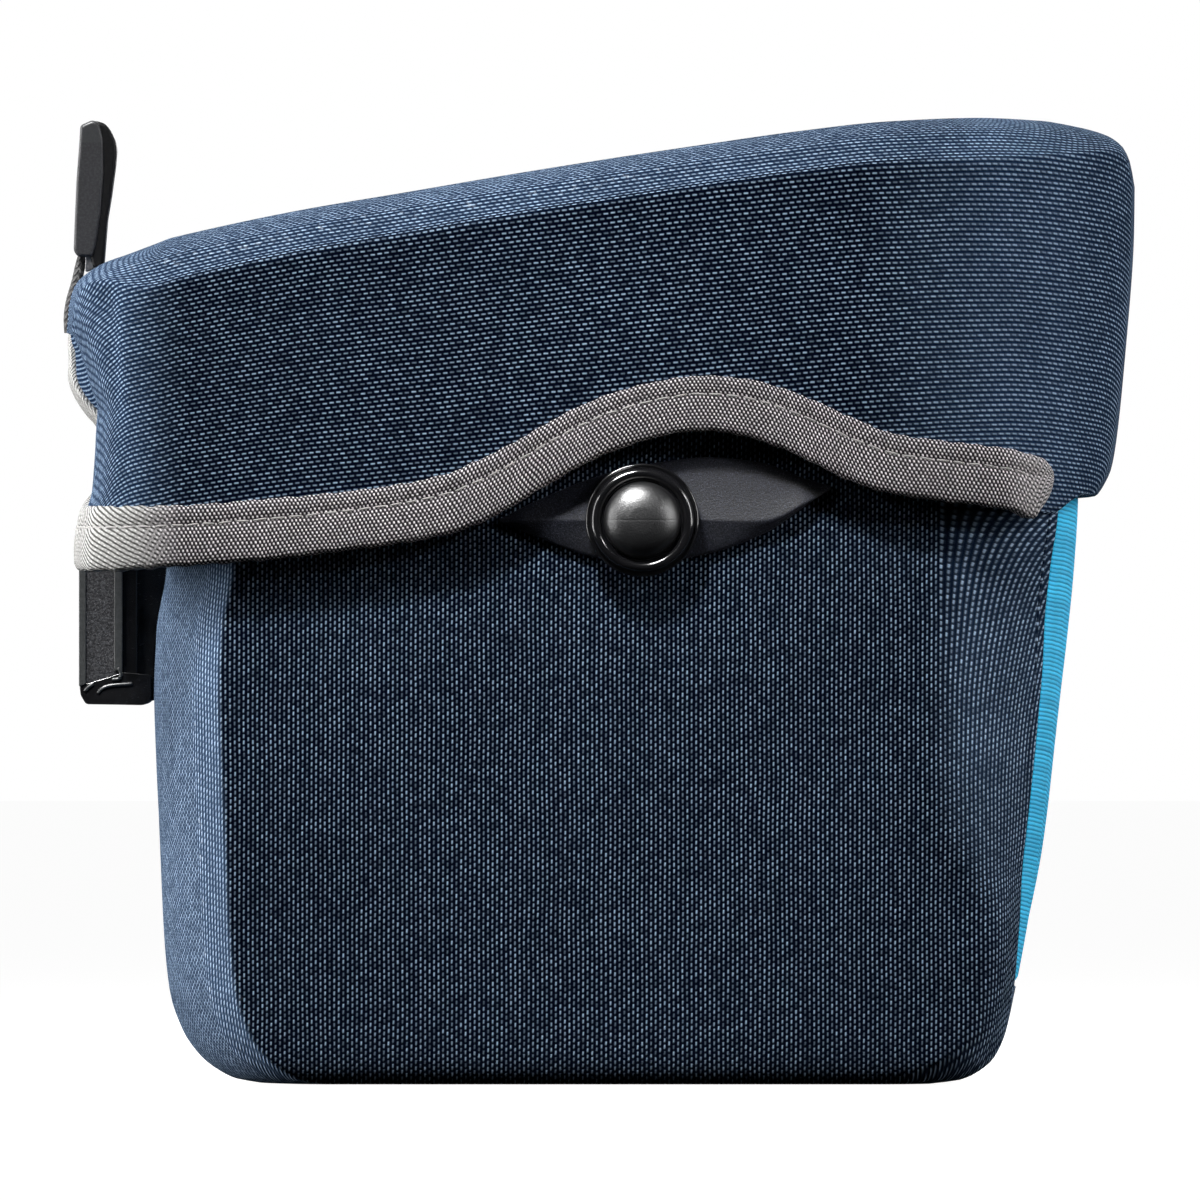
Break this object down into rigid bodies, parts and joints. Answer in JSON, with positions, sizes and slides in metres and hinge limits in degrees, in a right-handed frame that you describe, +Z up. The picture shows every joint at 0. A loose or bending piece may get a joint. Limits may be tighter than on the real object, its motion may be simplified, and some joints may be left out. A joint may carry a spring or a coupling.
{
  "type": "bicycle handlebar bag",
  "caption": "Boxy fabric handlebar bag with an overlapping hinged lid bound in tape, a coloured front panel, side strap studs, a back pull tab and a moulded mounting bracket.",
  "frame": {"origin": "centre of the bounding box in X and Y, on the plane the flat bottom rests on", "axes": "+X towards the front of the bag, away from the handlebar; +Y across the bag; +Z up. The bag is the same on both sides of Y = 0"},
  "size_m": [0.2152, 0.25, 0.193],
  "materials": {
    "bag_fabric": "coarse woven navy",
    "lid_fabric": "coarse woven navy",
    "front_fabric": "ribbed woven light blue",
    "binding_tape": "grey twill tape",
    "webbing": "black braided",
    "plate_plastic": "fine grain",
    "stud_plastic": "glossy rim, satin dome",
    "tab_plastic": "satin",
    "bracket_plastic": "grained",
    "bracket_base_plastic": "glossy"
  },
  "bodies": {
    "root": {"bag_body": "bag_fabric", "front_panel": "front_fabric", "lid": "lid_fabric", "lid_binding": "binding_tape", "strap_plate_right": "plate_plastic", "strap_plate_left": "plate_plastic", "strap_knob_right": "stud_plastic", "strap_knob_left": "stud_plastic", "pull_tab": "tab_plastic", "pull_tab_webbing": "webbing", "mount_bracket": "bracket_plastic", "mount_bracket_base": "bracket_base_plastic"}
  },
  "joints": []
}
